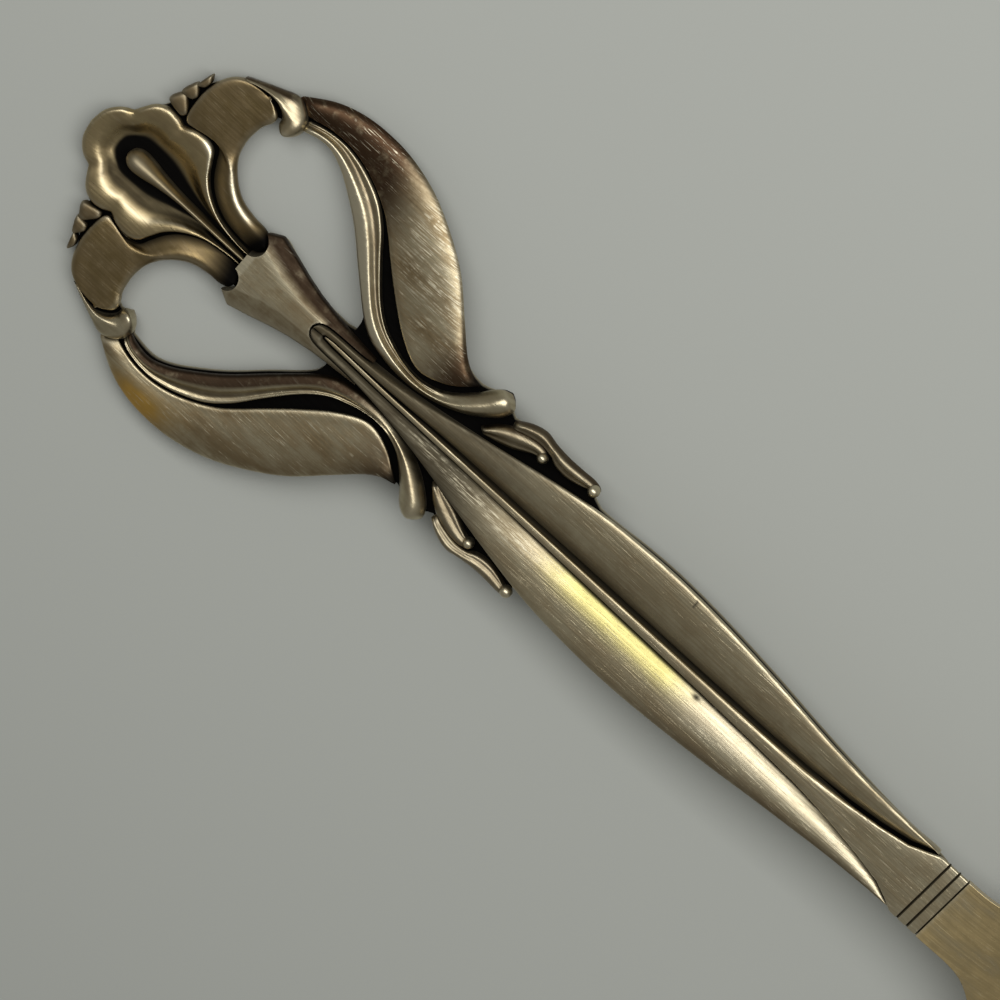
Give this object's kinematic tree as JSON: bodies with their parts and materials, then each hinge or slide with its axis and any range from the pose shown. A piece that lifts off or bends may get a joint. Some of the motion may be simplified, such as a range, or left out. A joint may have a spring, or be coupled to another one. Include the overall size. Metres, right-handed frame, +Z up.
{
  "type": "cold meat fork",
  "caption": "Silver serving fork for cold meat with a pierced lily-blossom handle, leaf loops, ridged stems, a pillowed shaft with central rib and a broad tined head.",
  "frame": {"origin": "centre of the fork's length and width, on the table it lies on", "axes": "+X from the blossom to the tine tips, +Y to the left when seen from above with the tines pointing right, +Z up from the table"},
  "size_m": [0.2278, 0.0476, 0.0143],
  "materials": {
    "bright_silver": "bright tarnished silver",
    "satin_silver": "satin tarnished silver with fine scratches",
    "worn_silver": "worn tarnished silver",
    "blackened_silver": "blackened, oxidised silver"
  },
  "bodies": {
    "root": {"back_plate": "blackened_silver", "blossom": "bright_silver", "spadix": "bright_silver", "calyx": "worn_silver", "spine": "worn_silver", "fork_head": "worn_silver", "sepal_left": "satin_silver", "hook_left": "worn_silver", "bud_sprig_left": "worn_silver", "leaf_left": "satin_silver", "stem_left": "worn_silver", "scroll_inner_left": "worn_silver", "scroll_outer_left": "worn_silver", "shaft_lobe_left": "satin_silver", "sepal_right": "satin_silver", "hook_right": "worn_silver", "bud_sprig_right": "worn_silver", "leaf_right": "satin_silver", "stem_right": "worn_silver", "scroll_inner_right": "worn_silver", "scroll_outer_right": "worn_silver", "shaft_lobe_right": "satin_silver"}
  },
  "joints": []
}
